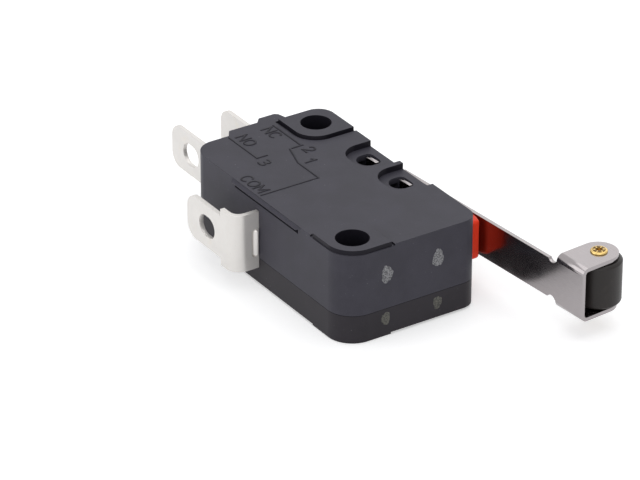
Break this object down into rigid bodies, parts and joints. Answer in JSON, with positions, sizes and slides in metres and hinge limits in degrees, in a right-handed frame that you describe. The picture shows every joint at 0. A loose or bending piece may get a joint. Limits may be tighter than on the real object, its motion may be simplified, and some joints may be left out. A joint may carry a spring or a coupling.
{
  "type": "lever micro switch",
  "caption": "Miniature snap-action switch in a black moulded body with a hinged steel roller lever, red plunger, and push-on terminals",
  "frame": {"origin": "On the axis of the larger mounting hole, at the face of the body that rests on the panel", "axes": "+X runs along the body to the free end that the roller overhangs, +Y across the body to the plunger and lever side, +Z through the thickness to the marked face"},
  "size_m": [0.0494, 0.0289, 0.0103],
  "materials": {
    "case": "moulded thermoplastic, fine satin",
    "cover": "moulded thermoplastic, fine satin",
    "plunger": "moulded, semi-gloss",
    "lever": "bright rolled stainless strip",
    "roller": "turned nylon",
    "rivet": "star-crimped hollow rivet",
    "terminal": "bright tin plate over brass",
    "contact": "silver alloy",
    "arm": "spring copper alloy",
    "spring": "drawn stainless wire",
    "actuator": "stamped steel"
  },
  "bodies": {
    "housing": {"case": "case", "cover": "cover", "com_terminal": "terminal", "no_terminal": "terminal", "nc_terminal": "terminal", "no_contact": "contact", "nc_contact": "contact"},
    "lever": {"lever": "lever", "roller_rivet": "rivet"},
    "roller": {"roller": "roller"},
    "plunger": {"plunger": "plunger"},
    "actuator": {"actuating_lever": "actuator"},
    "arm": {"moving_arm": "arm", "moving_contact": "contact"},
    "spring": {"snap_spring": "spring"}
  },
  "joints": [
    {"name": "lever_hinge", "type": "hinge", "parent": "housing", "child": "lever", "pos_m": [-0.014, 0.01175, 0.00515], "axis": [0, 0, 1], "range_deg": [-9, 0], "stiffness_Nm_per_rad": 0.06, "springref_deg": 9},
    {"name": "roller_spin", "type": "hinge", "parent": "lever", "child": "roller", "pos_m": [0.01201, 0.02079, 0.00515], "axis": [0, 0, 1], "continuous": true},
    {"name": "plunger_slide", "type": "slide", "parent": "housing", "child": "plunger", "axis": [0, 1, 0], "range_m": [-0.00186, 0]},
    {"name": "actuator_hinge", "type": "hinge", "parent": "housing", "child": "actuator", "pos_m": [-0.01228, 0.0022, 0.00515], "axis": [0, 0, 1], "range_deg": [-10.76, 0]},
    {"name": "arm_hinge", "type": "hinge", "parent": "housing", "child": "arm", "pos_m": [-0.0065, 0.00435, 0.00515], "axis": [0, 0, 1], "range_deg": [0, 4.08]},
    {"name": "spring_hinge", "type": "hinge", "parent": "arm", "child": "spring", "pos_m": [-0.01765, 0.00435, 0.00515], "axis": [0, 0, 1], "range_deg": [-7.25, 0]}
  ],
  "couplings": [
    {"joint": "plunger_slide", "follows": "lever_hinge", "m_per_rad": 0.011825},
    {"joint": "actuator_hinge", "follows": "lever_hinge", "ratio": 1.1944},
    {"joint": "arm_hinge", "follows": "lever_hinge", "ratio": -0.45188},
    {"joint": "spring_hinge", "follows": "lever_hinge", "ratio": 0.8039}
  ]
}
